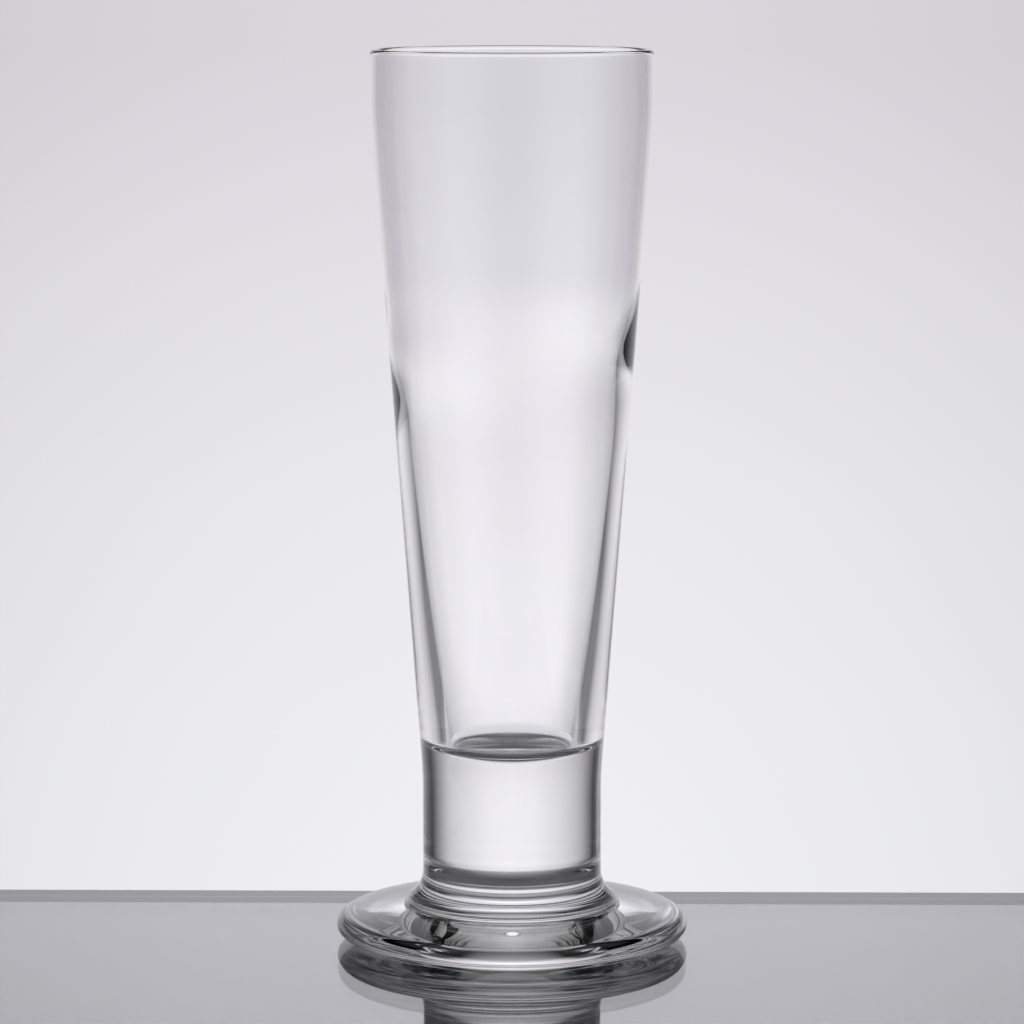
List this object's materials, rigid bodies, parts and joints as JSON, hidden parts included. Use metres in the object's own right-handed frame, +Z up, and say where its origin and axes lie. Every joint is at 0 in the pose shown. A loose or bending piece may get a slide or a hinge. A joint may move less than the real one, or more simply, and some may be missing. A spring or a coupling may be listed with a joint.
{
  "type": "pilsner glass",
  "caption": "Tall footed pilsner glass: a tapered bowl with a thick base, a short solid stem, a collar and a round foot with a rounded rim.",
  "frame": {"origin": "centre of the base, on the surface that the glass stands on", "axes": "+Z up along the axis of the glass, towards the rim; X and Y alike, because every piece is turned about Z"},
  "size_m": [0.0806, 0.0806, 0.204],
  "materials": {
    "clear_glass": "fire-polished clear glass, smooth on every face"
  },
  "bodies": {
    "root": {"bowl": "clear_glass", "stem": "clear_glass", "collar": "clear_glass", "foot": "clear_glass"}
  },
  "joints": []
}
